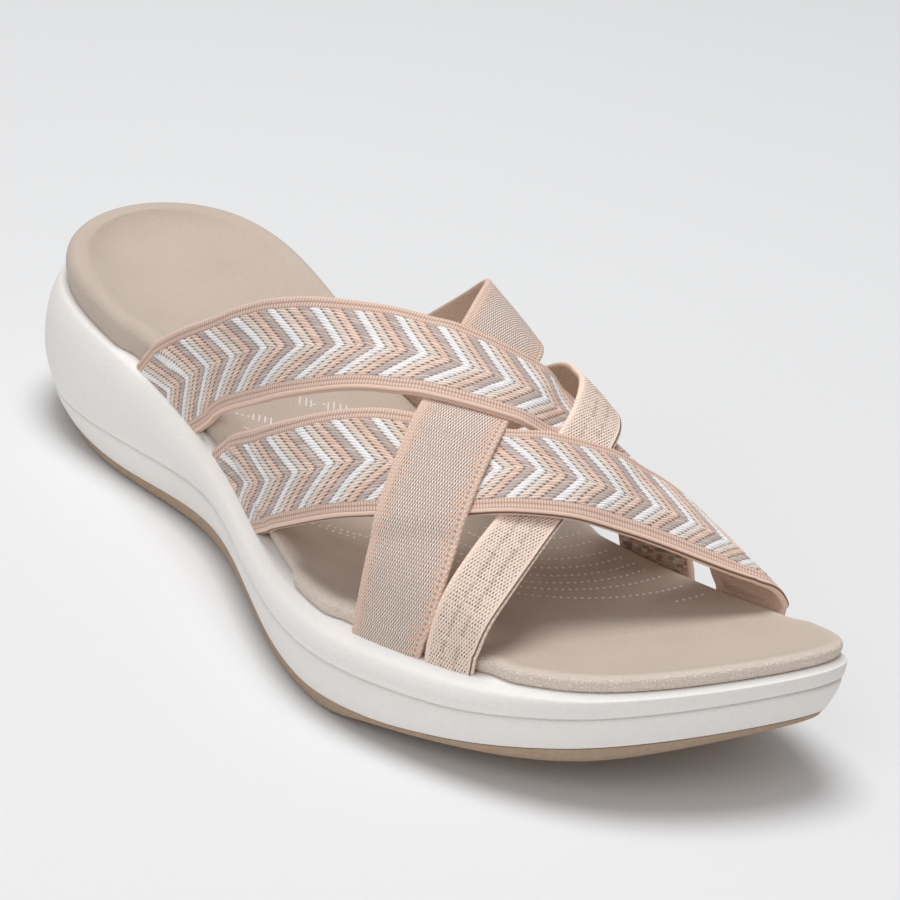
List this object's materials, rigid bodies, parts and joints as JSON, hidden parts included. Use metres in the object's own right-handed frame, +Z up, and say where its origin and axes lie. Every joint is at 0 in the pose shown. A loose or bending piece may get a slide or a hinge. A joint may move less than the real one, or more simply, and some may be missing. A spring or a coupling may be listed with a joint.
{
  "type": "orthopedic slip-on sandal",
  "caption": "Right-foot slip-on comfort sandal: crossing elastic straps over a contoured footbed, on a raised foam midsole and a thin rubber outsole.",
  "frame": {"origin": "on the floor, under the middle of the sandal's bounding box", "axes": "+X to the toe, +Y to the inner side of the foot, +Z up"},
  "size_m": [0.2583, 0.089, 0.0791],
  "materials": {
    "outsole": "matt tan rubber",
    "midsole": "off-white moulded foam with a fine pebble skin",
    "footbed": "beige brushed synthetic suede",
    "upper": "woven elastic in pink, cream, white and taupe"
  },
  "bodies": {
    "root": {"outsole": "outsole", "midsole": "midsole", "footbed": "footbed", "upper": "upper"}
  },
  "joints": []
}
